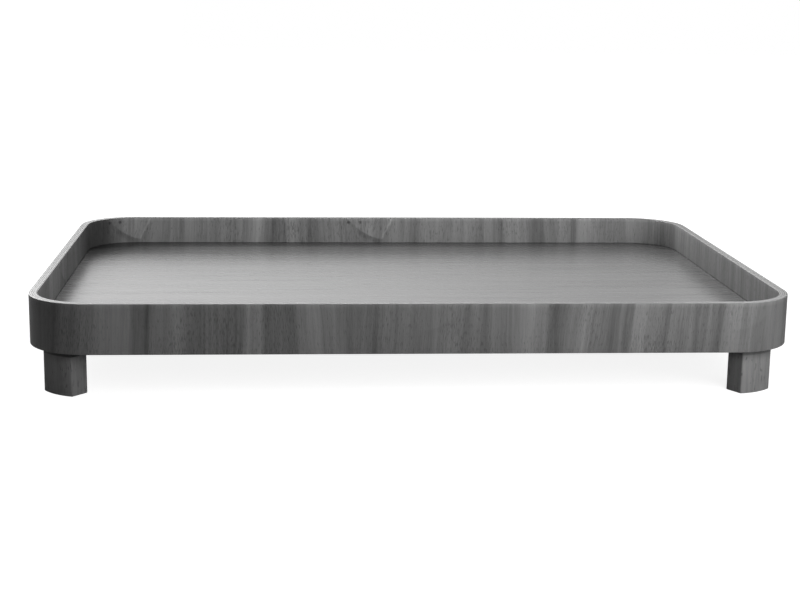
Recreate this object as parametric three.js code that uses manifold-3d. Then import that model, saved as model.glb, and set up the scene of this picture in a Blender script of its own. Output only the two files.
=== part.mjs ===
// Footed tray: a bent-laminated rim round a veneered panel, standing on four corner-block legs.
// Millimetres, +Z up. The origin is on the table under the middle of the tray.
// +X runs along the long side and -Y faces the front.

import * as THREE from "three";
import { mergeVertices } from "three/addons/utils/BufferGeometryUtils.js";
import Module from "manifold-3d";

const wasm = await Module();
wasm.setup();

// Tray outline and heights
const TRAY_LENGTH = 480;
const TRAY_WIDTH = 340;
const CORNER_RADIUS = 40.5;
const RIM_LIFT = 28; // table to the rim's lower edge
const RIM_SKIRT = 5.1; // rim's lower edge to the panel's underside
const WELL_DEPTH = 20.4; // panel's upper face to the rim's upper edge

// Rim lamination, from the outside in: veneer, three plies, veneer, with glue between them
const RIM_VENEER = 0.6;
const RIM_PLY = 1.1;
const GLUE_LINE = 0.2;
const RIM_EASE = 0.4; // radius that softens the rim's upper and lower corners
const BUTT_GAP = 0.3; // between the two ends of one bent strip
const BUTT_STAGGER = 60; // from one strip's butt joint to the next one's, along the rim

// Panel, whose core reaches into a groove round the inside of the rim
const PANEL_VENEER = 0.6;
const PANEL_CORE = 4.8;
const GROOVE_BITE = 0.6; // groove's depth in the innermost ply, behind the inner veneer
const PANEL_FIT = 0.3; // play between the panel and the rim

// Legs, solid blocks whose outer faces follow the inside of the rim's corners
const LEG_WIDTH = 25; // across the flat sides
const LEG_DEPTH = 15.2; // from the flat back to the middle of the outer face
const LEG_TURN_FRONT_LEFT = 40; // degrees from the tray's short direction, the rear right leg too
const LEG_TURN_FRONT_RIGHT = 29; // the rear left leg too
const LEG_EDGE = 1; // radius of the upright edges
const LEG_EASE = 0.5; // radius round both ends
const LEG_FIT = 0.3; // between the leg's outer face and the rim

// Dowels, a pair in the top of each leg
const DOWEL_DIAMETER = 5;
const DOWEL_IN_LEG = 16; // length below the panel
const DOWEL_COVER = 2; // panel core left above a dowel's socket
const DOWEL_CHAMFER = 0.8;
const DOWEL_FIT = 0.3; // play round a dowel and at its ends

// Facets
const CORNER_STEPS = 16; // facets of a quarter-round corner
const EASE_STEPS = 3;
const LEG_STEPS = 3;
const DOWEL_SIDES = 16;

// Insets of each layer of the rim, measured inwards from the rim's outer face
const plyInset = (index) => RIM_VENEER + GLUE_LINE + index * (RIM_PLY + GLUE_LINE);
const INNER_VENEER_INSET = plyInset(3);
const RIM_WALL = INNER_VENEER_INSET + RIM_VENEER;
const GROOVE_INSET = plyInset(2) + RIM_PLY - GROOVE_BITE;

// Heights above the table
const PANEL_UNDERSIDE = RIM_LIFT + RIM_SKIRT;
const CORE_UNDERSIDE = PANEL_UNDERSIDE + PANEL_VENEER;
const CORE_TOP = CORE_UNDERSIDE + PANEL_CORE;
const FLOOR = CORE_TOP + PANEL_VENEER;
const RIM_TOP = FLOOR + WELL_DEPTH;
const GROOVE_ROOF = CORE_TOP + PANEL_FIT;

// Middles of the tray's rounded corners
const CORNER_X = TRAY_LENGTH / 2 - CORNER_RADIUS;
const CORNER_Y = TRAY_WIDTH / 2 - CORNER_RADIUS;

const LEG_RADIUS = CORNER_RADIUS - RIM_WALL - LEG_FIT;
const LEG_MIDDLE = LEG_RADIUS - LEG_DEPTH / 2; // from the corner's middle to the leg's
const SOCKET_BOTTOM = PANEL_UNDERSIDE - DOWEL_IN_LEG - DOWEL_FIT;
const SOCKET_TOP = CORE_TOP - DOWEL_COVER;

const CORNERS = [
  { name: "front_left", x: -1, y: -1, turn: LEG_TURN_FRONT_LEFT },
  { name: "front_right", x: 1, y: -1, turn: LEG_TURN_FRONT_RIGHT },
  { name: "rear_left", x: -1, y: 1, turn: LEG_TURN_FRONT_RIGHT },
  { name: "rear_right", x: 1, y: 1, turn: LEG_TURN_FRONT_LEFT },
];
const DOWEL_PLACES = [
  { name: "left", offset: -LEG_WIDTH / 4 },
  { name: "right", offset: LEG_WIDTH / 4 },
];

// Closed surface with shared vertices, for cutting and for a clean solid
function welded(geometry) {
  const bare = geometry.clone();
  bare.deleteAttribute("normal");
  bare.deleteAttribute("uv");
  return mergeVertices(bare, 1e-4);
}

function toSolid(geometry) {
  const { index, attributes } = welded(geometry);
  const vertProperties = attributes.position.array;
  const triVerts = new Uint32Array(index.array);
  return new wasm.Manifold(new wasm.Mesh({ numProp: 3, vertProperties, triVerts }));
}

// The geometry with each tool cut out of it
function cut(geometry, tools) {
  const solid = tools.reduce((left, tool) => left.subtract(toSolid(tool)), toSolid(geometry));
  const { vertProperties, triVerts } = solid.getMesh();
  const result = new THREE.BufferGeometry();
  result.setAttribute("position", new THREE.BufferAttribute(vertProperties, 3));
  result.setIndex(new THREE.BufferAttribute(triVerts, 1));
  result.computeVertexNormals();
  return result;
}

// The tray's outline at an inset: its four rounded corners, counter-clockwise from the rear left
function outlinePoints(inset) {
  const radius = CORNER_RADIUS - inset;
  const corner = (x, y, start) =>
    new THREE.EllipseCurve(x, y, radius, radius, start, start + Math.PI / 2).getPoints(CORNER_STEPS);
  return [
    ...corner(-CORNER_X, CORNER_Y, Math.PI / 2),
    ...corner(-CORNER_X, -CORNER_Y, Math.PI),
    ...corner(CORNER_X, -CORNER_Y, -Math.PI / 2),
    ...corner(CORNER_X, CORNER_Y, 0),
  ];
}

// Path of a strip bent round the tray, from its butt joint on the rear side and back to it
function stripPath(inset, joint) {
  const rear = TRAY_WIDTH / 2 - inset;
  const start = new THREE.Vector2(joint - BUTT_GAP / 2, rear);
  const end = new THREE.Vector2(joint + BUTT_GAP / 2, rear);
  return [start, ...outlinePoints(inset), end];
}

// Strip with a section of (inset, height) points, swept along that path and closed at both ends
function stripGeometry(section, joint) {
  const count = section.length;
  const paths = section.map(([inset]) => stripPath(inset, joint));
  const stations = paths[0].length;
  const positions = [];
  const index = [];
  for (let station = 0; station < stations; station++) {
    section.forEach(([, height], corner) => {
      const { x, y } = paths[corner][station];
      positions.push(x, y, height);
    });
  }
  for (let station = 0; station < stations - 1; station++) {
    for (let corner = 0; corner < count; corner++) {
      const here = station * count + corner;
      const beside = station * count + ((corner + 1) % count);
      index.push(here, beside + count, here + count, here, beside, beside + count);
    }
  }
  const outline = section.map(([inset, height]) => new THREE.Vector2(inset, height));
  const lastStation = (stations - 1) * count;
  THREE.ShapeUtils.triangulateShape(outline, []).forEach(([a, b, c]) => {
    index.push(c, b, a);
    index.push(lastStation + a, lastStation + b, lastStation + c);
  });
  const geometry = new THREE.BufferGeometry();
  geometry.setAttribute("position", new THREE.Float32BufferAttribute(positions, 3));
  geometry.setIndex(index);
  geometry.computeVertexNormals();
  return geometry;
}

// How far the softened corners fall away from the rim's flat edge, at an inset
function easeDrop(inset) {
  const fromFace = Math.min(inset, RIM_WALL - inset);
  const short = Math.max(RIM_EASE - fromFace, 0);
  return RIM_EASE - Math.sqrt(RIM_EASE ** 2 - short ** 2);
}

const rimLower = (inset) => RIM_LIFT + easeDrop(inset);
const rimUpper = (inset) => RIM_TOP - easeDrop(inset);

// Section of one layer of the rim between two insets, counter-clockwise in (inset, height).
// The notch is what is cut into the layer's inner face, from its lower point up.
function layerSection(outer, inner, lower, upper, notch = []) {
  const isEased = easeDrop(outer) + easeDrop(inner) > 0;
  const steps = isEased ? EASE_STEPS : 1;
  const insets = Array.from({ length: steps + 1 }, (_, i) => outer + ((inner - outer) * i) / steps);
  const below = insets.map((inset) => [inset, lower(inset)]);
  const above = insets.map((inset) => [inset, upper(inset)]).reverse();
  return [...below, ...notch, ...above];
}

// Plate with the tray's outline at an inset, between two heights
function plateGeometry(inset, bottom, top) {
  const shape = new THREE.Shape(outlinePoints(inset));
  const plate = new THREE.ExtrudeGeometry(shape, { depth: top - bottom, bevelEnabled: false });
  return plate.translate(0, 0, bottom);
}

// Leg standing at the middle of its corner, with its own axis along +X
function legGeometry() {
  const half = LEG_WIDTH / 2;
  const back = LEG_RADIUS - LEG_DEPTH + LEG_EDGE;
  const side = half - LEG_EDGE;
  const front = Math.sqrt((LEG_RADIUS - LEG_EDGE) ** 2 - side ** 2);
  const spread = Math.atan2(side, front);
  const quarter = Math.PI / 2;
  const shape = new THREE.Shape();
  shape.moveTo(back, -half);
  shape.lineTo(front, -half);
  shape.absarc(front, -side, LEG_EDGE, -quarter, -spread);
  shape.absarc(0, 0, LEG_RADIUS, -spread, spread);
  shape.absarc(front, side, LEG_EDGE, spread, quarter);
  shape.lineTo(back, half);
  shape.absarc(back, side, LEG_EDGE, quarter, 2 * quarter);
  shape.absarc(back, -side, LEG_EDGE, 2 * quarter, 3 * quarter);
  const block = new THREE.ExtrudeGeometry(shape, {
    depth: PANEL_UNDERSIDE - 2 * LEG_EASE,
    bevelThickness: LEG_EASE,
    bevelSize: LEG_EASE,
    bevelOffset: -LEG_EASE,
    bevelSegments: EASE_STEPS,
    curveSegments: LEG_STEPS,
  }).translate(0, 0, LEG_EASE);
  const sockets = DOWEL_PLACES.map(({ offset }) => socketGeometry().translate(LEG_MIDDLE, offset, 0));
  return cut(block, sockets);
}

// Room for one dowel, on the Z axis
function socketGeometry() {
  const radius = DOWEL_DIAMETER / 2 + DOWEL_FIT;
  const height = SOCKET_TOP - SOCKET_BOTTOM;
  const socket = new THREE.CylinderGeometry(radius, radius, height, DOWEL_SIDES);
  return socket.rotateX(Math.PI / 2).translate(0, 0, SOCKET_BOTTOM + height / 2);
}

// Dowel with chamfered ends, on the Z axis
function dowelGeometry() {
  const radius = DOWEL_DIAMETER / 2;
  const bottom = SOCKET_BOTTOM + DOWEL_FIT;
  const top = SOCKET_TOP - DOWEL_FIT;
  const profile = [
    new THREE.Vector2(0, bottom),
    new THREE.Vector2(radius - DOWEL_CHAMFER, bottom),
    new THREE.Vector2(radius, bottom + DOWEL_CHAMFER),
    new THREE.Vector2(radius, top - DOWEL_CHAMFER),
    new THREE.Vector2(radius - DOWEL_CHAMFER, top),
    new THREE.Vector2(0, top),
  ];
  return new THREE.LatheGeometry(profile, DOWEL_SIDES).rotateX(Math.PI / 2);
}

// Turns the +X axis of a leg towards its corner of the tray
function legHeading({ x, y, turn }) {
  const angle = THREE.MathUtils.degToRad(turn);
  return Math.atan2(y * Math.cos(angle), x * Math.sin(angle));
}

function legGroup(corner) {
  const group = new THREE.Group();
  group.position.set(corner.x * CORNER_X, corner.y * CORNER_Y, 0);
  group.rotation.z = legHeading(corner);
  return group;
}

// Every dowel's socket in the tray's own frame, for the holes in the panel
function panelSockets() {
  return CORNERS.flatMap((corner) =>
    DOWEL_PLACES.map(({ offset }) => {
      const group = legGroup(corner);
      group.updateMatrix();
      return socketGeometry().translate(LEG_MIDDLE, offset, 0).applyMatrix4(group.matrix);
    }),
  );
}

function addPiece(group, name, geometry, color, roughness) {
  const material = new THREE.MeshStandardMaterial({ color, roughness, metalness: 0 });
  const mesh = new THREE.Mesh(geometry, material);
  mesh.name = name;
  group.add(mesh);
  return mesh;
}

const RIM_COLOR = 0x565656;
const PLY_COLOR = 0x6e6e6e;
const PANEL_COLOR = 0x626262;
const LEG_COLOR = 0x525252;
const DOWEL_COLOR = 0xc2a679;
const SATIN = 0.42;
const RAW = 0.75;

const tray = new THREE.Group();
tray.name = "footed_tray";

// Rim: the butt joints are staggered along the rear side, and the inner veneer's are at the front
function buildRim(group) {
  const outerVeneer = layerSection(0, RIM_VENEER, rimLower, rimUpper);
  addPiece(group, "rim_outer_veneer", stripGeometry(outerVeneer, 2 * BUTT_STAGGER), RIM_COLOR, SATIN);

  ["outer", "middle", "inner"].forEach((place, i) => {
    const inner = plyInset(i) + RIM_PLY;
    const groove = [
      [inner, CORE_UNDERSIDE],
      [GROOVE_INSET, CORE_UNDERSIDE],
      [GROOVE_INSET, GROOVE_ROOF],
      [inner, GROOVE_ROOF],
    ];
    const notch = place === "inner" ? groove : [];
    const section = layerSection(plyInset(i), inner, rimLower, rimUpper, notch);
    addPiece(group, `rim_${place}_ply`, stripGeometry(section, (i - 1) * BUTT_STAGGER), PLY_COLOR, RAW);
  });

  const upperBand = layerSection(INNER_VENEER_INSET, RIM_WALL, () => GROOVE_ROOF, rimUpper);
  const lowerBand = layerSection(INNER_VENEER_INSET, RIM_WALL, rimLower, () => CORE_UNDERSIDE);
  const upper = addPiece(group, "rim_inner_veneer_upper", stripGeometry(upperBand, 0), RIM_COLOR, SATIN);
  const lower = addPiece(group, "rim_inner_veneer_lower", stripGeometry(lowerBand, 0), RIM_COLOR, SATIN);
  upper.rotation.z = Math.PI;
  lower.rotation.z = Math.PI;
}

function buildPanel(group) {
  const sockets = panelSockets();
  const face = RIM_WALL + PANEL_FIT;
  const top = plateGeometry(face, CORE_TOP, FLOOR);
  const core = plateGeometry(GROOVE_INSET + PANEL_FIT, CORE_UNDERSIDE, CORE_TOP);
  const bottom = plateGeometry(face, PANEL_UNDERSIDE, CORE_UNDERSIDE);
  addPiece(group, "panel_top_veneer", top, PANEL_COLOR, SATIN);
  addPiece(group, "panel_core", cut(core, sockets), PLY_COLOR, RAW);
  addPiece(group, "panel_bottom_veneer", cut(bottom, sockets), PANEL_COLOR, SATIN);
}

function buildLeg(group, corner) {
  const leg = legGroup(corner);
  addPiece(leg, `leg_${corner.name}`, legGeometry(), LEG_COLOR, SATIN);
  DOWEL_PLACES.forEach(({ name, offset }) => {
    const dowel = addPiece(leg, `dowel_${corner.name}_${name}`, dowelGeometry(), DOWEL_COLOR, RAW);
    dowel.position.set(LEG_MIDDLE, offset, 0);
  });
  group.add(leg);
}

buildRim(tray);
buildPanel(tray);
CORNERS.forEach((corner) => buildLeg(tray, corner));

export default tray;
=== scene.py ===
"""Looks of a footed tray in dark grey stained wood: bent rim, veneered floor and corner-block legs."""
import math

import bpy
from mathutils import Matrix, Vector


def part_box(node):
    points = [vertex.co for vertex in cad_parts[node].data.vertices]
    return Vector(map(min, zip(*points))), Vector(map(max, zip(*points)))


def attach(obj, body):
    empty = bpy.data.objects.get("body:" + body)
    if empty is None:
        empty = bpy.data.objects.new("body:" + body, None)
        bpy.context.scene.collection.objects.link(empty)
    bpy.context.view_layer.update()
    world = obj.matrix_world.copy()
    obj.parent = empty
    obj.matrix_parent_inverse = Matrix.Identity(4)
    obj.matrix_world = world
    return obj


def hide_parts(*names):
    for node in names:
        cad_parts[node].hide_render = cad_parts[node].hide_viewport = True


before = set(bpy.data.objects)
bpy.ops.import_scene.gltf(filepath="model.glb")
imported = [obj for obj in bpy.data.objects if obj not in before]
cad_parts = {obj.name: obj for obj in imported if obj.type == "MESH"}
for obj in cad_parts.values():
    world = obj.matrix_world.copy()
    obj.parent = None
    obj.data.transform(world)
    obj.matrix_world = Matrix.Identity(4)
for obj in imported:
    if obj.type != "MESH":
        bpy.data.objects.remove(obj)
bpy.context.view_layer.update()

# Sizes in metres that the solids' boxes don't give
CORNER_RADIUS = 0.0405
RIM_VENEER = 0.0006
RIM_PLY = 0.0011
GLUE_LINE = 0.0002
RIM_EASE = 0.0004
BUTT_GAP = 0.0003
VENEER_JOINT = 0.12
LEG_WIDTH = 0.025
LEG_DEPTH = 0.0152
LEG_EDGE = 0.001
LEG_EASE = 0.0005
LEG_FIT = 0.0003
LEG_GRAIN_STEP = 0.1  # sets the legs' grain apart

# Sizes taken from the solids
RIM_LOW, RIM_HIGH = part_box("rim_middle_ply")
HALF_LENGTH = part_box("rim_outer_veneer")[1][0]
HALF_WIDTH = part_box("rim_outer_veneer")[1][1]
RIM_BOTTOM = RIM_LOW[2]
RIM_TOP = RIM_HIGH[2]
GROOVE_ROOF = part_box("rim_inner_veneer_upper")[0][2]
GROOVE_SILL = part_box("rim_inner_veneer_lower")[1][2]
PANEL_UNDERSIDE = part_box("panel_bottom_veneer")[0][2]
RIM_WALL = 2 * (RIM_VENEER + 2 * GLUE_LINE) + 3 * RIM_PLY
CORNER_X = HALF_LENGTH - CORNER_RADIUS
CORNER_Y = HALF_WIDTH - CORNER_RADIUS

# Fineness of the meshes
CORNER_STEPS = 40
EASE_STEPS = 6
EDGE_STEPS = 8
ARC_STEPS = 20
SAME_POINT = 1e-7
SHARP_ANGLE = math.radians(35)

# Each corner's side along X and Y, and its leg's turn in degrees from the tray's short direction
CORNERS = {
    "front_left": (-1, -1, 40),
    "front_right": (1, -1, 29),
    "rear_left": (-1, 1, 29),
    "rear_right": (1, 1, 40),
}


# Node helpers

STREAK_ROUGHNESS = 0.6
RELIEF_STRENGTH = 0.5


def new_material(name):
    material = bpy.data.materials.new(name)
    material.use_nodes = True
    material.node_tree.nodes.clear()
    return material


def node(tree, kind, inputs=None, **settings):
    """Adds a node, sets its properties, and sets or links its inputs by name or number."""
    made = tree.nodes.new(kind)
    for key, value in settings.items():
        setattr(made, key, value)
    for key, value in (inputs or {}).items():
        if isinstance(value, bpy.types.NodeSocket):
            tree.links.new(value, made.inputs[key])
        else:
            made.inputs[key].default_value = value
    return made


def maths(tree, operation, first, second=0.0, third=0.0):
    made = node(tree, "ShaderNodeMath", {0: first, 1: second, 2: third}, operation=operation)
    return made.outputs[0]


def times(tree, first, second):
    return maths(tree, "MULTIPLY", first, second)


def vector(tree, x, y, z):
    return node(tree, "ShaderNodeCombineXYZ", {0: x, 1: y, 2: z}).outputs[0]


def noise(tree, coords, detail=2.0, roughness=0.5):
    """Noise of scale one, so that the coordinates carry the frequency."""
    inputs = {"Vector": coords, "Scale": 1.0, "Detail": detail, "Roughness": roughness}
    return node(tree, "ShaderNodeTexNoise", inputs).outputs["Fac"]


def ramp(tree, value, low, high, start=0.0, end=1.0):
    inputs = {"Value": value, "From Min": low, "From Max": high, "To Min": start, "To Max": end}
    return node(tree, "ShaderNodeMapRange", inputs, interpolation_type="SMOOTHSTEP").outputs[0]


def grey(tree, value):
    return node(tree, "ShaderNodeCombineColor", {0: value, 1: value, 2: value}).outputs[0]


def centred(tree, layer, reach):
    """Noise that swings evenly about zero."""
    return times(tree, maths(tree, "SUBTRACT", layer, 0.5), reach)


def added(tree, tone, layer, strength):
    """Tone with a noise layer swinging it evenly up and down."""
    return maths(tree, "MULTIPLY_ADD", maths(tree, "SUBTRACT", layer, 0.5), strength, tone)


def darkened(tree, tone, spots, strength):
    """Tone made darker where the spots are."""
    return times(tree, tone, maths(tree, "MULTIPLY_ADD", spots, -strength, 1.0))


def streaks(tree, across, along, scales, detail, seed):
    """Noise drawn out along the fibres. The scales are per metre across and along them."""
    across_scale, along_scale = scales
    place = vector(tree, times(tree, across, across_scale), times(tree, along, along_scale), seed)
    return noise(tree, place, detail, STREAK_ROUGHNESS)


def grain_place(tree):
    """The three grain coordinates that each new mesh carries."""
    place = node(tree, "ShaderNodeAttribute", attribute_name="grain").outputs["Vector"]
    return node(tree, "ShaderNodeSeparateXYZ", {0: place}).outputs


def varnished(tree, tone, relief, roughness, depth):
    """Satin lacquer over wood of that tone, with the grain's relief pressed into it."""
    bump = node(tree, "ShaderNodeBump", {"Height": relief, "Strength": RELIEF_STRENGTH, "Distance": depth})
    shader = node(tree, "ShaderNodeBsdfPrincipled", {
        "Base Color": grey(tree, tone),
        "Roughness": roughness,
        "Normal": bump.outputs[0],
    })
    output = node(tree, "ShaderNodeOutputMaterial")
    tree.links.new(shader.outputs[0], output.inputs[0])


# Woods

GRAIN_DEPTH = 0.00012
PANEL_GRAIN_DEPTH = 0.00001
EDGE_GRAIN_DEPTH = 0.0001

# Seed steps that keep the layers of one wood apart
STRIPE_SEED = 3.7
FIBRE_SEED = 7.1
FLECK_SEED = 11.3
CROWDING_SEED = 15.9

RIM_TONE = 0.085
# Painted light: the inner veneer is made 2.6 times paler than the outer one, to make up for the light that
# falls short on the inner walls
INNER_LIT_TONE = 2.6 * RIM_TONE
EDGE_TONE = 0.2  # the rim's cut edge
EDGE_GLOSS = 0.25
PANEL_TONE = 0.14
CORE_TONE = 0.16
DOWEL_TONE = 0.3
# Painted light: the front legs' tones are set apart, the left one darker and the right one paler, for how the
# light falls on them
LEG_TONES = {"front_left": 0.1, "front_right": 0.125, "rear_left": 0.11, "rear_right": 0.11}
# Tone, as a factor, of the painted shadow line that the rim casts on each leg just under it
LEG_SHADOW_LINES = {"front_left": 0.12, "front_right": 0.65, "rear_left": 0.5, "rear_right": 0.5}

# Heights above the rim's lower edge
RIM_HEIGHT = RIM_TOP - RIM_BOTTOM
RIM_MIDDLE = RIM_HEIGHT / 2
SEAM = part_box("panel_top_veneer")[1][2] - RIM_BOTTOM  # the floor's surface
SEAM_CORE, SEAM_EDGE = 0.0002, 0.0006  # half widths of the dark line where floor and rim meet
# Painted highlight: the rim's face is made paler in a band along its top, where a rounded edge would catch
# the light
TOP_HIGHLIGHT_BAND, TOP_HIGHLIGHT_TONE = 0.0035, 1.25  # the paler band along the rim's top

# Veneer grain: scales per metre across and along the fibres
VENEER_BAND_LENGTH = 3
VENEER_STRIPES = (500, 12)
VENEER_FIBRES = (1900, 70)
VENEER_FLECKS = (2100, 260)
VENEER_CROWDING = (35, 20)
SWAY_SCALES = (50, 20)
SWAY = 0.005
BAND_STEP = 0.16
STEP_SHARPNESS = 0.85
VENEER_LIMITS = (0.3, 1.9)

# Bands of the face veneers, from broad to fine: bands per metre and strength
VENEER_BANDS = ((10, 0.5), (25, 0.5), (60, 0.5), (130, 0.5), (180, 0.4))
LEAN_SCALE = 12  # changes of the bands' lean per metre
LEAN = 0.4
STREAK_CORE, STREAK_EDGE = 0.7, 1.3  # shares of a streak's half width between which it fades

# The plainest streaks of each face veneer: middle along the rim, half width and change of tone
OUTER_STREAKS = (
    (-0.184, 0.010, 0.2), (-0.168, 0.005, -0.4), (-0.122, 0.016, -0.35), (-0.1, 0.005, 0.2),
    (-0.084, 0.010, -0.25), (-0.056, 0.015, 0.25), (0.07, 0.010, 0.25), (0.083, 0.004, -0.3),
    (0.119, 0.012, -0.25), (0.137, 0.004, 0.3),
)
INNER_STREAKS = (
    (0.113, 0.003, -0.15), (0.102, 0.005, 0.12), (0.087, 0.007, -0.2), (0.065, 0.006, -0.2),
    (-0.085, 0.003, 0.12), (-0.125, 0.007, -0.2), (-0.155, 0.004, -0.15), (-0.164, 0.006, 0.2),
)
# Painted light and shade along each face veneer, mostly at the tray's ends, where light falls stronger or
# weaker: start, end and factor
OUTER_PAINTED_LIGHT = (
    (-0.18, -0.21, 0.72), (-0.26, -0.3, 1.4), (0.03, 0.08, 1.25), (0.22, 0.247, 0.6), (0.26, 0.3, 1.35),
)
INNER_PAINTED_LIGHT = (
    (0.19, 0.24, 0.25), (0.26, 0.36, 1.9), (0.38, 0.45, 1.45), (0.465, 0.49, 0.7), (0.58, 0.7, 1.55),
    (-0.2, -0.25, 1.25), (-0.27, -0.36, 0.6),
)

# The curl that each leaf of the rim's veneer repeats, in millimetres along the rim and up from its place
LEAF = 0.1955  # width of one leaf, in metres as are the places along the rim
FIGURE_PLACE = 0.002
FIGURE_LEAD = 0.05  # how much of the leaf lies before the curl
FIGURE_GONE, FIGURE_FULL = -0.12, -0.05  # the curl dies out between these places along the rim
MILLIMETRES = 1000
FIGURE_HEIGHT = 14.0
FIGURE_WOBBLE = 3.0
WOBBLE_SCALE = 300
BOWL_CURVE, BOWL_TILT = 0.017, 0.12
SIDE_TILT = 0.5
CUP_GAIN, LENS_LOSS, SIDE_GAIN, KNOT_LOSS = 0.14, 0.17, 0.2, 0.4
KNOTS = ((27.0, 14.0), (17.5, 14.0))
KNOT_CORE, KNOT_EDGE = 0.5, 1.9


def leaf_figure(tree, along_rim, height, strength):
    """Curl that each leaf repeats: a pale cup, the dark lens under it, its bright side and two pin knots."""
    rough = noise(tree, vector(
        tree, times(tree, along_rim, WOBBLE_SCALE), times(tree, height, WOBBLE_SCALE), 0.0), 2.0)
    wobble = centred(tree, rough, FIGURE_WOBBLE)
    start = maths(tree, "ADD", maths(tree, "SUBTRACT", along_rim, FIGURE_PLACE), FIGURE_LEAD)
    wrapped = maths(tree, "SUBTRACT", maths(tree, "FLOORED_MODULO", start, LEAF), FIGURE_LEAD)
    across = maths(tree, "MULTIPLY_ADD", wrapped, MILLIMETRES, wobble)
    up = maths(tree, "MULTIPLY_ADD", height, MILLIMETRES, -FIGURE_HEIGHT)

    bowl = times(tree, across, maths(tree, "MULTIPLY_ADD", across, BOWL_CURVE, BOWL_TILT))
    above = maths(tree, "SUBTRACT", up, bowl)
    beside = maths(tree, "MULTIPLY_ADD", up, SIDE_TILT, across)
    cup = times(tree, ramp(tree, above, -0.5, 1.0), ramp(tree, beside, -0.6, 0.6))
    lens = times(tree, ramp(tree, above, 0.8, -0.8), ramp(tree, above, -7.0, -1.5))
    lens = times(tree, lens, ramp(tree, across, -1.0, 3.0))
    lens = times(tree, lens, ramp(tree, across, 22.0, 17.0))
    side = ramp(tree, maths(tree, "ABSOLUTE", beside), 1.3, 0.2)
    side = times(tree, side, ramp(tree, up, -1.0, 2.0))
    change = times(tree, cup, CUP_GAIN)
    change = maths(tree, "MULTIPLY_ADD", lens, -LENS_LOSS, change)
    change = maths(tree, "MULTIPLY_ADD", side, SIDE_GAIN, change)
    for knot_across, knot_up in KNOTS:
        away = node(tree, "ShaderNodeVectorMath", {
            0: vector(tree, across, up, 0.0), 1: (knot_across, knot_up, 0.0)}, operation="DISTANCE")
        knot = ramp(tree, away.outputs["Value"], KNOT_EDGE, KNOT_CORE)
        change = maths(tree, "MULTIPLY_ADD", knot, -KNOT_LOSS, change)
    share = ramp(tree, along_rim, FIGURE_GONE, FIGURE_FULL, 0.0, strength)
    return maths(tree, "MULTIPLY_ADD", change, share, 1.0)


def veneer_material(name, base, streak_list, painted_light, figure, seam, dullness, seed):
    """Upright grain on the rim, from leaves of veneer laid side by side."""
    material = new_material(name)
    tree = material.node_tree
    along_rim, height, _ = grain_place(tree)
    level = maths(tree, "SUBTRACT", height, RIM_MIDDLE)

    slant = noise(tree, vector(tree, times(tree, along_rim, LEAN_SCALE), 0.0, seed), 0.0)
    slant = centred(tree, slant, LEAN)
    across_scale, up_scale = SWAY_SCALES
    sway = noise(tree, vector(
        tree,
        times(tree, along_rim, across_scale),
        maths(tree, "MULTIPLY_ADD", level, up_scale, 1.0),
        seed), 2.0)
    sway = centred(tree, sway, SWAY)
    fibre_line = maths(tree, "MULTIPLY_ADD", slant, level, maths(tree, "ADD", along_rim, sway))

    tone = 1.0
    for scale, strength in VENEER_BANDS:
        band = streaks(tree, fibre_line, level, (scale, VENEER_BAND_LENGTH), 0.0, seed + scale)
        tone = added(tree, tone, band, strength)
    for middle, half_width, change in streak_list:
        away = maths(tree, "ABSOLUTE", maths(tree, "SUBTRACT", fibre_line, middle))
        inside = ramp(tree, away, STREAK_EDGE * half_width, STREAK_CORE * half_width)
        tone = maths(tree, "MULTIPLY_ADD", inside, change, tone)
    # Growth layers end sharply: the soft bands are drawn towards even steps of tone
    ripple = maths(tree, "SINE", times(tree, tone, 2 * math.pi / BAND_STEP))
    tone = maths(tree, "MULTIPLY_ADD", ripple, -STEP_SHARPNESS * BAND_STEP / (2 * math.pi), tone)

    stripes = streaks(tree, fibre_line, level, VENEER_STRIPES, 2.0, seed + STRIPE_SEED)
    fibres = streaks(tree, fibre_line, level, VENEER_FIBRES, 2.0, seed + FIBRE_SEED)
    flecks = streaks(tree, fibre_line, level, VENEER_FLECKS, 1.0, seed + FLECK_SEED)
    crowding = streaks(tree, fibre_line, level, VENEER_CROWDING, 1.0, seed + CROWDING_SEED)
    tone = added(tree, tone, stripes, 0.8)
    tone = added(tree, tone, fibres, 0.45)
    pores = ramp(tree, maths(tree, "MULTIPLY_ADD", crowding, 0.4, flecks), 0.74, 0.95)
    tone = darkened(tree, tone, pores, 0.4)
    tone = times(tree, tone, leaf_figure(tree, along_rim, height, figure))
    darkest, palest = VENEER_LIMITS
    tone = maths(tree, "MINIMUM", maths(tree, "MAXIMUM", tone, darkest), palest)
    tone = times(tree, tone, base)

    # Painted light and shade: the veneer is brightened or darkened along the rim where the light is stronger
    # or weaker
    for start, end, change in painted_light:
        tone = times(tree, tone, ramp(tree, along_rim, start, end, 1.0, change))
    # Painted highlight: a paler band along the rim's top, as a rounded edge lit from above would look
    top_highlight = ramp(tree, height, RIM_HEIGHT - TOP_HIGHLIGHT_BAND, RIM_HEIGHT - RIM_EASE, 1.0, TOP_HIGHLIGHT_TONE)
    tone = times(tree, tone, top_highlight)
    from_seam = maths(tree, "ABSOLUTE", maths(tree, "SUBTRACT", height, SEAM))
    tone = times(tree, tone, ramp(tree, from_seam, SEAM_EDGE, SEAM_CORE, 1.0, seam))
    cut = ramp(tree, height, RIM_HEIGHT - 0.9 * RIM_EASE, RIM_HEIGHT - 0.3 * RIM_EASE)
    tone = node(tree, "ShaderNodeMix", {0: cut, 2: tone, 3: EDGE_TONE}).outputs[0]
    relief = maths(tree, "MULTIPLY_ADD", pores, -0.7, fibres)
    relief = times(tree, relief, maths(tree, "SUBTRACT", 1.0, cut))
    roughness = maths(tree, "MULTIPLY_ADD", fibres, 0.12, dullness)
    roughness = node(tree, "ShaderNodeMix", {0: cut, 2: roughness, 3: EDGE_GLOSS}).outputs[0]
    varnished(tree, tone, relief, roughness, GRAIN_DEPTH)
    return material


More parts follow.
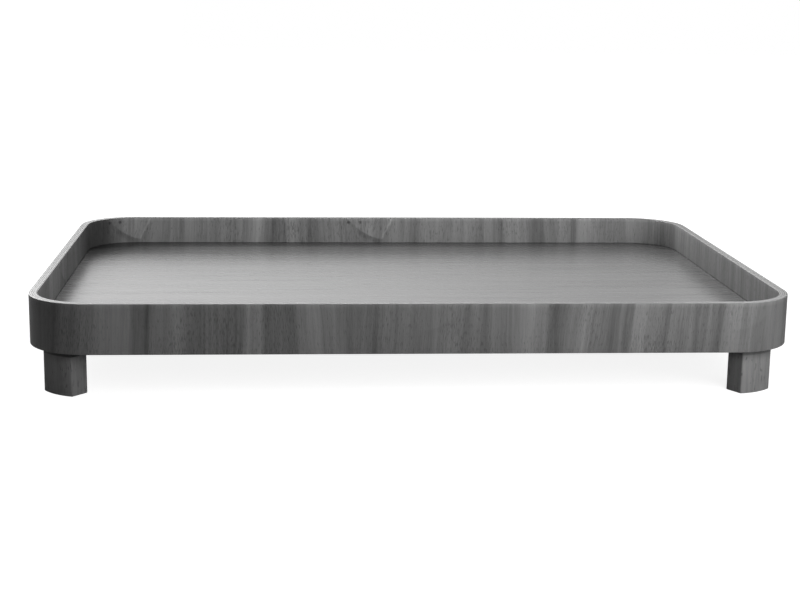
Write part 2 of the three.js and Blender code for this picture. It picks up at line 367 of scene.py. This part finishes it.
# Grain of the tray's floor: scales per metre across and along the fibres
PANEL_SWAY_SCALES = (14, 5)
PANEL_SWAY = 0.012
PANEL_BANDS = (70, 1.5)
PANEL_STRIPES = (300, 2.5)
PANEL_FIBRES = (1600, 8)
PANEL_FLECKS = (480, 6)
DARKEST = 0.25
CORNER_SHADE = (0.03, 0.11, 0.25)  # the rear left corner's shade: its core, its reach and its tone


def panel_material(name, base, seed):
    """Fine grain along the tray's length, with short darker streaks."""
    material = new_material(name)
    tree = material.node_tree
    place = node(tree, "ShaderNodeTexCoord").outputs["Object"]
    axes = node(tree, "ShaderNodeSeparateXYZ", {0: place})
    along, across = axes.outputs[0], axes.outputs[1]
    across_scale, along_scale = PANEL_SWAY_SCALES
    sway = noise(tree, vector(
        tree, times(tree, along, along_scale), times(tree, across, across_scale), seed), 1.0)
    fibre_line = maths(tree, "ADD", across, centred(tree, sway, PANEL_SWAY))

    bands = streaks(tree, fibre_line, along, PANEL_BANDS, 3.0, seed)
    stripes = streaks(tree, fibre_line, along, PANEL_STRIPES, 3.0, seed + STRIPE_SEED)
    fibres = streaks(tree, fibre_line, along, PANEL_FIBRES, 2.0, seed + FIBRE_SEED)
    flecks = streaks(tree, fibre_line, along, PANEL_FLECKS, 2.0, seed + FLECK_SEED)
    tone = added(tree, 1.0, bands, 0.4)
    tone = added(tree, tone, stripes, 0.5)
    tone = added(tree, tone, fibres, 0.3)
    pores = ramp(tree, flecks, 0.58, 0.7)
    tone = darkened(tree, tone, pores, 0.6)
    tone = times(tree, maths(tree, "MAXIMUM", tone, DARKEST), base)
    from_corner = node(tree, "ShaderNodeVectorMath", {
        0: vector(tree, along, across, 0.0), 1: (-HALF_LENGTH, HALF_WIDTH, 0.0)}, operation="DISTANCE")
    core, reach, corner_tone = CORNER_SHADE
    tone = times(tree, tone, ramp(tree, from_corner.outputs["Value"], core, reach, corner_tone, 1.0))
    relief = maths(tree, "MULTIPLY_ADD", pores, -0.9, fibres)
    roughness = maths(tree, "MULTIPLY_ADD", fibres, 0.06, 0.23)
    roughness = maths(tree, "MULTIPLY_ADD", pores, 0.12, roughness)
    roughness = added(tree, roughness, stripes, 0.03)
    varnished(tree, tone, relief, roughness, PANEL_GRAIN_DEPTH)
    return material


CLOUD_SCALES = (60, 60, 20)


def edge_material(name, base, scale, contrast=1.0, gloss=0.4):
    """Cut edge of a ply or block: short end grain with lengthwise streaks."""
    material = new_material(name)
    tree = material.node_tree
    place = node(tree, "ShaderNodeTexCoord").outputs["Object"]

    def scaled(scales):
        return node(tree, "ShaderNodeVectorMath", {0: place, 1: scales}, operation="MULTIPLY").outputs[0]

    pores = noise(tree, scaled((scale, scale, scale / 8)), 3.0, 0.65)
    cloud = noise(tree, scaled(CLOUD_SCALES), 2.0)
    tone = added(tree, 1.0, pores, 0.9 * contrast)
    tone = added(tree, tone, cloud, 0.7 * contrast)
    tone = times(tree, maths(tree, "MAXIMUM", tone, 0.3), base)
    roughness = maths(tree, "MULTIPLY_ADD", pores, 0.15 * contrast, gloss)
    varnished(tree, tone, pores, roughness, EDGE_GRAIN_DEPTH * contrast)
    return material


# Leg grain: scales per metre across and along the fibres
LEG_BANDS = (150, 10)
LEG_STRIPES = (500, 20)
LEG_FIBRES = (1800, 80)
LEG_FLECKS = (800, 200)
# Painted shadow under the rim on each leg: a dark line, and a softer painted shade below it
SHADOW_LINE_TOP, SHADOW_LINE_FADE = 0.003, 0.0036  # depths below the rim's lower edge where the dark line fades out
SHADE_TOP, SHADE_FADE, SHADE_TONE = 0.002, 0.008, 0.7  # the softer shade below it


def leg_material(name, base, shadow_line_tone, seed):
    """Solid wood with upright grain: growth layers across the block and fine pores along it."""
    material = new_material(name)
    tree = material.node_tree
    side, depth, height = grain_place(tree)

    def layer(scales, detail, seed_step):
        across_scale, along_scale = scales
        return noise(tree, vector(
            tree,
            times(tree, side, across_scale),
            maths(tree, "MULTIPLY_ADD", depth, across_scale, seed + seed_step),
            times(tree, height, along_scale)), detail, STREAK_ROUGHNESS)

    fibres = layer(LEG_FIBRES, 2.0, FIBRE_SEED)
    tone = added(tree, 1.0, layer(LEG_BANDS, 3.0, 0.0), 0.6)
    tone = added(tree, tone, layer(LEG_STRIPES, 2.0, STRIPE_SEED), 0.5)
    tone = added(tree, tone, fibres, 0.6)
    pores = ramp(tree, layer(LEG_FLECKS, 1.0, FLECK_SEED), 0.6, 0.72)
    tone = darkened(tree, tone, pores, 0.45)
    tone = times(tree, maths(tree, "MAXIMUM", tone, DARKEST), base)
    # Painted shadow: the leg is darkened just under the rim, where the rim shadows it
    line = ramp(tree, height, RIM_BOTTOM - SHADOW_LINE_FADE, RIM_BOTTOM - SHADOW_LINE_TOP, 1.0, shadow_line_tone)
    tone = times(tree, tone, line)
    shade = ramp(tree, height, RIM_BOTTOM - SHADE_FADE, RIM_BOTTOM - SHADE_TOP, 1.0, SHADE_TONE)
    tone = times(tree, tone, shade)
    relief = maths(tree, "MULTIPLY_ADD", pores, -0.8, fibres)
    roughness = maths(tree, "MULTIPLY_ADD", fibres, 0.12, 0.4)
    varnished(tree, tone, relief, roughness, GRAIN_DEPTH)
    return material


# Meshes

def quarter_turn(middle_x, middle_y, radius, start):
    """Points of a quarter circle."""
    turns = [start + math.pi / 2 * step / CORNER_STEPS for step in range(CORNER_STEPS + 1)]
    return [(middle_x + radius * math.cos(turn), middle_y + radius * math.sin(turn)) for turn in turns]


def strip_path(inset, joint):
    """Points of a strip bent round the tray from its butt joint at the rear, and the wall's length there."""
    radius = CORNER_RADIUS - inset
    middle_radius = CORNER_RADIUS - RIM_WALL / 2
    rear = HALF_WIDTH - inset
    corners = [(-CORNER_X, CORNER_Y), (-CORNER_X, -CORNER_Y), (CORNER_X, -CORNER_Y), (CORNER_X, CORNER_Y)]
    points = [(joint - BUTT_GAP / 2, rear)]
    for index, (x, y) in enumerate(corners):
        points += quarter_turn(x, y, radius, math.pi / 2 * (index + 1))
    points.append((joint + BUTT_GAP / 2, rear))

    half_turn = math.pi / 2 * middle_radius
    starts = [
        -CORNER_X - half_turn - 2 * CORNER_Y - half_turn,
        -CORNER_X - half_turn,
        CORNER_X,
        CORNER_X + half_turn + 2 * CORNER_Y,
    ]
    lengths = [starts[0] - (joint + CORNER_X)]
    for index in range(4):
        for step in range(CORNER_STEPS + 1):
            lengths.append(starts[index] + half_turn * step / CORNER_STEPS)
    lengths.append(starts[3] + half_turn + CORNER_X - joint)
    return points, lengths


def solid(name, points, faces, grain):
    """Mesh object with its grain coordinates, smooth where the surface is."""
    mesh = bpy.data.meshes.new(name)
    mesh.from_pydata(points, [], faces)
    mesh.update()
    layer = mesh.attributes.new("grain", "FLOAT_VECTOR", "POINT")
    layer.data.foreach_set("vector", [value for place in grain for value in place])
    mesh.shade_smooth()
    mesh.set_sharp_from_angle(angle=SHARP_ANGLE)
    piece = bpy.data.objects.new(name, mesh)
    bpy.context.scene.collection.objects.link(piece)
    return piece


def tube_faces(rings, count):
    """Faces of a closed tube made of rings with that many points each."""
    faces = []
    for ring in range(rings - 1):
        for index in range(count):
            here = ring * count + index
            beside = ring * count + (index + 1) % count
            faces.append((here, beside, beside + count, here + count))
    last = (rings - 1) * count
    faces.append(tuple(range(count - 1, -1, -1)))
    faces.append(tuple(range(last, last + count)))
    return faces


def strip(name, section, joint, facing=1):
    """Closed strip with a section of (inset, height) points. Facing -1 puts its joint at the front."""
    paths = [strip_path(inset, joint) for inset, _ in section]
    stations = len(paths[0][0])
    points = []
    grain = []
    for station in range(stations):
        for (inset, height), (path, lengths) in zip(section, paths):
            x, y = path[station]
            points.append((facing * x, facing * y, height))
            grain.append((lengths[station], height - RIM_BOTTOM, inset))
    return solid(name, points, tube_faces(stations, len(section)), grain)


def eased(inset):
    """Drop of the rim's softened corners below its flat edge, at an inset."""
    from_face = min(inset, RIM_WALL - inset)
    short = max(RIM_EASE - from_face, 0.0)
    return RIM_EASE - math.sqrt(RIM_EASE ** 2 - short ** 2)


def veneer_section(outer, inner, low=None, high=None):
    """Section of a face veneer. A height that isn't given follows the rim's softened edge."""
    toward_face = outer if outer < RIM_WALL / 2 else inner
    away = inner if toward_face == outer else outer
    # Steps crowd towards the face, where the softened edge is steepest
    insets = [toward_face + (away - toward_face) * (step / EASE_STEPS) ** 2 for step in range(EASE_STEPS + 1)]
    insets.sort()
    lower = [(i, RIM_BOTTOM + eased(i) if low is None else low) for i in insets]
    upper = [(i, RIM_TOP - eased(i) if high is None else high) for i in reversed(insets)]
    return lower + upper


def leg_outline(inset):
    """Plan of a leg, its own axis along +X and its corner's middle at the origin, pulled in by an inset."""
    radius = CORNER_RADIUS - RIM_WALL - LEG_FIT - inset
    back = CORNER_RADIUS - RIM_WALL - LEG_FIT - LEG_DEPTH + LEG_EDGE
    edge = LEG_EDGE - inset
    side = LEG_WIDTH / 2 - LEG_EDGE
    front = math.sqrt((radius - edge) ** 2 - side ** 2)
    spread = math.atan2(side, front)
    quarter = math.pi / 2
    arcs = [
        (front, -side, edge, -quarter, -spread, EDGE_STEPS),
        (0.0, 0.0, radius, -spread, spread, ARC_STEPS),
        (front, side, edge, spread, quarter, EDGE_STEPS),
        (back, side, edge, quarter, 2 * quarter, EDGE_STEPS),
        (back, -side, edge, 2 * quarter, 3 * quarter, EDGE_STEPS),
    ]
    points = []
    for x, y, size, start, end, steps in arcs:
        for step in range(steps + 1):
            turn = start + (end - start) * step / steps
            point = (x + size * math.cos(turn), y + size * math.sin(turn))
            if not points or math.dist(point, points[-1]) > SAME_POINT:
                points.append(point)
    return points


def leg(name, corner):
    """Leg block with softened ends, turned into its corner."""
    side_x, side_y, angle = CORNERS[corner]
    angle = math.radians(angle)
    heading = math.atan2(side_y * math.cos(angle), side_x * math.sin(angle))
    rings = []
    for step in range(EASE_STEPS + 1):
        bend = math.pi / 2 * step / EASE_STEPS
        rings.append((LEG_EASE * (1 - math.sin(bend)), LEG_EASE * (1 - math.cos(bend))))
    rings += [(inset, PANEL_UNDERSIDE - height) for inset, height in reversed(rings)]
    turn = Matrix.Rotation(heading, 3, "Z")
    middle = Vector((side_x * CORNER_X, side_y * CORNER_Y, 0.0))
    points = []
    grain = []
    offset = LEG_GRAIN_STEP * (list(CORNERS).index(corner) + 1)
    for inset, height in rings:
        for x, y in leg_outline(inset):
            points.append(turn @ Vector((x, y, height)) + middle)
            grain.append((y + offset, x, height))
    return solid(name, points, tube_faces(len(rings), len(leg_outline(0.0))), grain)


def dress(piece, material, slot, *nodes):
    """Gives a new piece its material and body, and hides the solids it stands for. The slot is not used."""
    piece.data.materials.append(material)
    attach(piece, "root")
    if nodes:
        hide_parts(*nodes)


def repaint(name, material):
    """Puts a material on a solid that shows as it is."""
    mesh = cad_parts[name].data
    mesh.materials.clear()
    mesh.materials.append(material)


# The tray

outer_wood = veneer_material(
    "rim_outer_wood", RIM_TONE, OUTER_STREAKS, OUTER_PAINTED_LIGHT, figure=0.3, seam=1.0, dullness=0.32, seed=1.7)
inner_wood = veneer_material(
    "rim_inner_wood", INNER_LIT_TONE, INNER_STREAKS, INNER_PAINTED_LIGHT, figure=1.7, seam=0.4, dullness=0.55, seed=5.2)
panel_wood = panel_material("panel_wood", PANEL_TONE, seed=2.4)
ply_wood = {
    "outer": edge_material("rim_outer_ply_wood", EDGE_TONE, scale=900, contrast=0.35, gloss=0.22),
    "middle": edge_material("rim_middle_ply_wood", 0.9 * EDGE_TONE, scale=900, contrast=0.35, gloss=0.24),
    "inner": edge_material("rim_inner_ply_wood", 1.05 * EDGE_TONE, scale=900, contrast=0.35, gloss=0.22),
}
core_wood = edge_material("panel_core_wood", CORE_TONE, scale=700)
dowel_wood = edge_material("dowel_wood", DOWEL_TONE, scale=1200)

outer_veneer = strip("outer_veneer", veneer_section(0.0, RIM_VENEER), VENEER_JOINT)
dress(outer_veneer, outer_wood, "rim_veneer", "rim_outer_veneer")
inner_outer = RIM_WALL - RIM_VENEER
inner_upper = strip("inner_veneer_upper", veneer_section(inner_outer, RIM_WALL, low=GROOVE_ROOF), 0.0, -1)
dress(inner_upper, inner_wood, "rim_veneer", "rim_inner_veneer_upper")
inner_lower = strip("inner_veneer_lower", veneer_section(inner_outer, RIM_WALL, high=GROOVE_SILL), 0.0, -1)
dress(inner_lower, inner_wood, "rim_veneer", "rim_inner_veneer_lower")

for place, wood in ply_wood.items():
    repaint("rim_" + place + "_ply", wood)
repaint("panel_top_veneer", panel_wood)
repaint("panel_bottom_veneer", panel_wood)
repaint("panel_core", core_wood)

for corner in CORNERS:
    block = leg("leg_block_" + corner, corner)
    leg_wood = leg_material("leg_wood_" + corner, LEG_TONES[corner], LEG_SHADOW_LINES[corner], seed=4.1)
    dress(block, leg_wood, "leg_wood", "leg_" + corner)
    for side in ("left", "right"):
        repaint("dowel_" + corner + "_" + side, dowel_wood)


# Studio

FLOOR_REACH = 4.0
SHADOW_SHARE = 0.42  # how much of the floor near the tray is lit by the lamps, the rest being plain white
SHADOW_REACH = 0.9
FLOOR_WHITE = 1.5
SHADOW_CORE = 0.3  # share of the reach within which the shadow is full
FLOOR_PALE, FLOOR_DIM = 0.8, 0.3  # the floor's tone to the camera, and to the tray
WALL_LEFT = 1.15
WALL_BEHIND = 0.32
WALL_RIGHT = 0.28
WALL_END = 0.5  # a narrow bright strip near the right end
WALL_HIGH = 2.8  # how much brighter the wall is higher up
ROOM_DIM = 0.02


def make_floor():
    """Pale floor that the camera sees as white, apart from the soft shadow round the tray."""
    mesh = bpy.data.meshes.new("studio_floor")
    reach = FLOOR_REACH
    mesh.from_pydata([(-reach, -reach, 0), (reach, -reach, 0), (reach, reach, 0), (-reach, reach, 0)],
                     [], [(0, 1, 2, 3)])
    floor = bpy.data.objects.new("studio_floor", mesh)
    bpy.context.scene.collection.objects.link(floor)
    material = new_material("studio_floor")
    tree = material.node_tree
    place = node(tree, "ShaderNodeTexCoord").outputs["Object"]
    distance = node(tree, "ShaderNodeVectorMath", {0: place}, operation="LENGTH").outputs["Value"]
    plain = ramp(tree, distance, SHADOW_CORE * SHADOW_REACH, SHADOW_REACH, 1.0 - SHADOW_SHARE, 1.0)
    seen = node(tree, "ShaderNodeLightPath").outputs["Is Camera Ray"]
    pale = maths(tree, "MULTIPLY_ADD", seen, FLOOR_PALE - FLOOR_DIM, FLOOR_DIM)
    matt = node(tree, "ShaderNodeBsdfDiffuse", {"Color": grey(tree, pale)})
    white = node(tree, "ShaderNodeEmission", {"Color": (1.0, 1.0, 1.0, 1.0), "Strength": FLOOR_WHITE})
    share = times(tree, plain, seen)
    both = node(tree, "ShaderNodeMixShader", {0: share, 1: matt.outputs[0], 2: white.outputs[0]})
    output = node(tree, "ShaderNodeOutputMaterial")
    tree.links.new(both.outputs[0], output.inputs[0])
    mesh.materials.append(material)


def make_world():
    """White to the camera. To the tray it is a dark room with a pale low wall behind it.

    The wall is brighter at the left and has a narrow bright strip at the right.
    """
    world = bpy.data.worlds.new("studio")
    bpy.context.scene.world = world
    world.use_nodes = True
    tree = world.node_tree
    tree.nodes.clear()
    axes = node(tree, "ShaderNodeSeparateXYZ", {0: node(tree, "ShaderNodeTexCoord").outputs["Generated"]})
    # The bounds below are parts of a ray's direction, from -1 to 1
    across, ahead, up = axes.outputs
    wall = ramp(tree, across, -0.25, 0.4, WALL_LEFT, WALL_BEHIND)
    wall = maths(tree, "ADD", wall, ramp(tree, across, 0.15, 0.34, 0.0, WALL_RIGHT - WALL_BEHIND))
    strip_light = ramp(tree, across, 0.25, 0.268, 0.0, WALL_END)
    strip_light = times(tree, strip_light, ramp(tree, across, 0.28, 0.33, 1.0, 0.4))
    wall = maths(tree, "ADD", wall, strip_light)
    wall = times(tree, wall, ramp(tree, ahead, 0.6, 0.9))
    wall = times(tree, wall, ramp(tree, up, 0.15, 0.4, 1.0, WALL_HIGH))
    wall = times(tree, wall, ramp(tree, up, 0.7, 0.5))
    wall = maths(tree, "ADD", wall, ROOM_DIM)
    seen = node(tree, "ShaderNodeLightPath").outputs["Is Camera Ray"]
    level = maths(tree, "MAXIMUM", seen, wall)
    light = node(tree, "ShaderNodeBackground", {"Color": (1.0, 1.0, 1.0, 1.0), "Strength": level})
    output = node(tree, "ShaderNodeOutputWorld")
    tree.links.new(light.outputs[0], output.inputs[0])


def make_lamp(name, azimuth, elevation, distance, size, power, mirrored=True):
    """Soft square lamp aimed at the tray, its azimuth counted from the front towards +X."""
    round_z, up = math.radians(azimuth), math.radians(elevation)
    toward = Vector((math.sin(round_z) * math.cos(up), -math.cos(round_z) * math.cos(up), math.sin(up)))
    lamp = bpy.data.lights.new(name, "AREA")
    lamp.size = size
    lamp.energy = power
    holder = bpy.data.objects.new(name, lamp)
    holder.location = distance * toward
    holder.rotation_euler = (-toward).to_track_quat("-Z", "Y").to_euler()
    holder.visible_camera = False
    holder.visible_glossy = mirrored
    bpy.context.scene.collection.objects.link(holder)


# The photograph's camera: place in metres, angles in degrees, focal length in pixels of its 800-pixel width
CAMERA_PLACE = (-0.0830, -1.0966, 0.2576)
CAMERA_YAW = 4.396
CAMERA_PITCH = 11.896
CAMERA_ROLL = 0.825
CAMERA_FOCUS = 1564.3
PHOTO_WIDTH = 800


def make_camera():
    """Camera where the photograph was taken from."""
    yaw, pitch, roll = (math.radians(a) for a in (CAMERA_YAW, CAMERA_PITCH, CAMERA_ROLL))
    ahead = Vector((math.sin(yaw) * math.cos(pitch), math.cos(yaw) * math.cos(pitch), -math.sin(pitch)))
    right = Vector((math.cos(yaw), -math.sin(yaw), 0.0))
    up = right.cross(ahead)
    tilted_right = math.cos(roll) * right + math.sin(roll) * up
    tilted_up = math.cos(roll) * up - math.sin(roll) * right
    lens = bpy.data.cameras.new("camera")
    lens.sensor_fit = "HORIZONTAL"
    lens.sensor_width = 36.0
    lens.lens = CAMERA_FOCUS / PHOTO_WIDTH * lens.sensor_width
    lens.clip_start = 0.01
    camera = bpy.data.objects.new("camera", lens)
    axes = Matrix((tilted_right, tilted_up, -ahead)).transposed()
    camera.matrix_world = Matrix.Translation(CAMERA_PLACE) @ axes.to_4x4()
    bpy.context.scene.collection.objects.link(camera)
    bpy.context.scene.camera = camera


make_floor()
make_world()
make_lamp("key", azimuth=30, elevation=20, distance=0.85, size=0.8, power=9.7, mirrored=False)
make_lamp("front_fill", azimuth=0, elevation=20, distance=2.2, size=0.4, power=1.5)
make_lamp("rear_left", azimuth=225, elevation=40, distance=2.2, size=1.2, power=26.6)
make_lamp("rear_high", azimuth=180, elevation=45, distance=2.2, size=0.5, power=12.0)
make_lamp("rear_side", azimuth=212, elevation=12, distance=2.2, size=1.2, power=9.0)
make_camera()
bpy.context.scene.view_settings.view_transform = "Standard"
